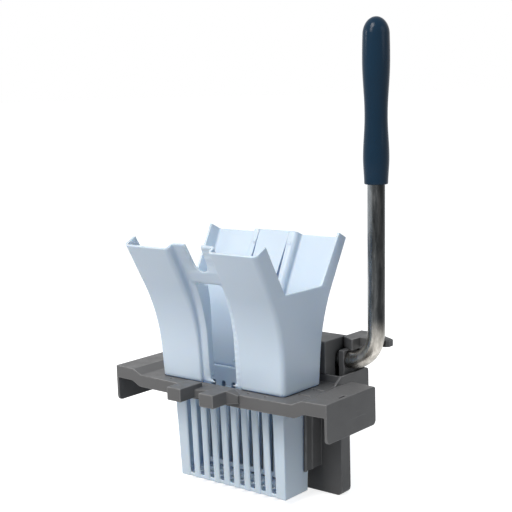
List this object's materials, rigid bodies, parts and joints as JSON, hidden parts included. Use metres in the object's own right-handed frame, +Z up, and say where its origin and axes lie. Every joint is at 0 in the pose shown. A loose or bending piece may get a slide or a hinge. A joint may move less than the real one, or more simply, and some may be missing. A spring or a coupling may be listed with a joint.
{
  "type": "mop wringer",
  "caption": "Side-press mop wringer for the rims of a bucket: flared funnel, slotted basket, hinged press jaw and a bent hand lever with a grip.",
  "frame": {"origin": "centre plane, level with the underside of the two rims that rest on the bucket", "axes": "+Z up, +X towards the hand lever, +Y to the rear (mechanism side); the handle lugs point to -Y"},
  "size_m": [0.34, 0.2205, 0.5814],
  "materials": {
    "frame_plastic": "moulded, fine matt texture",
    "blue_plastic": "moulded, satin",
    "pad_plastic": "self-coloured, satin",
    "grip_plastic": "dipped, satin",
    "galvanised_steel": "galvanised, streaky",
    "plated_steel": "zinc plated",
    "bush_plastic": "self-coloured, satin"
  },
  "bodies": {
    "stand": {"frame": "frame_plastic", "hopper": "blue_plastic", "basket": "blue_plastic", "bearing_bracket_right": "frame_plastic", "bearing_bracket_left": "frame_plastic", "bush_right": "bush_plastic", "bush_left": "bush_plastic", "lever_stop": "frame_plastic", "mechanism_cover": "frame_plastic", "return_spring": "plated_steel", "spring_anchor": "plated_steel", "stop_bolts": "plated_steel", "bracket_bolts": "plated_steel", "bracket_screws": "plated_steel", "cover_screws": "plated_steel"},
    "lever": {"lever_tube": "galvanised_steel", "lever_grip": "grip_plastic", "press_cam": "plated_steel", "cam_pin": "plated_steel", "shaft_collar": "plated_steel", "collar_pin": "plated_steel", "shaft_washer": "plated_steel", "shaft_end_cap": "frame_plastic"},
    "jaw": {"press_jaw": "blue_plastic", "jaw_hinge_pin": "plated_steel", "wear_pad": "pad_plastic"}
  },
  "joints": [
    {"name": "lever_turn", "type": "hinge", "parent": "stand", "child": "lever", "pos_m": [0, 0.08, 0.021], "axis": [1, 0, 0], "range_deg": [0, 75], "stiffness_Nm_per_rad": 1.6, "springref_deg": -22.92, "deforming": ["return_spring"]},
    {"name": "jaw_swing", "type": "hinge", "parent": "stand", "child": "jaw", "pos_m": [0, 0.0745, 0.16], "axis": [-1, 0, 0], "range_deg": [0, 5.25]}
  ],
  "couplings": [
    {"joint": "jaw_swing", "follows": "lever_turn", "ratio": 0.07}
  ]
}
